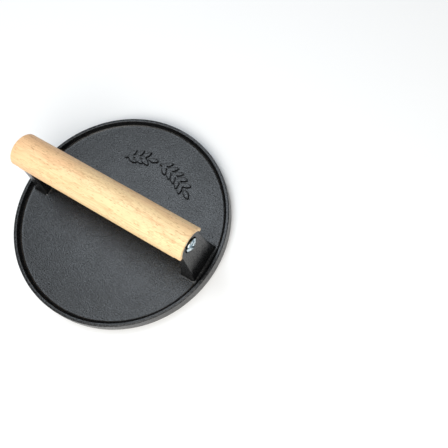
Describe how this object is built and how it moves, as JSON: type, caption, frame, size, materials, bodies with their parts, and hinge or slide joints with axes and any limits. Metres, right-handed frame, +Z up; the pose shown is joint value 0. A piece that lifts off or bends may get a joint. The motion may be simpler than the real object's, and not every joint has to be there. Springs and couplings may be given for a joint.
{
  "type": "patty press",
  "caption": "Round cast-iron plate with a raised rim and a wooden bar handle on cast posts, for pressing meat flat on a griddle.",
  "frame": {"origin": "centre of the flat pressing face, on the underside", "axes": "+Z up out of the plate, +X along the handle towards its right end, +Y towards the raised sprigs"},
  "size_m": [0.1798, 0.1798, 0.0716],
  "materials": {
    "cast_iron": "black seasoned sand casting, satin, fine grain",
    "beech": "bare sanded beech, fine flecked grain along the bar",
    "zinc": "bright blue-white zinc plating",
    "black_steel": "black oxide",
    "brass": "plain turned brass"
  },
  "bodies": {
    "root": {"press_plate": "cast_iron", "handle": "beech", "screw_right": "zinc", "screw_left": "zinc", "lock_washer_right": "black_steel", "lock_washer_left": "black_steel", "threaded_insert_right": "brass", "threaded_insert_left": "brass"}
  },
  "joints": []
}
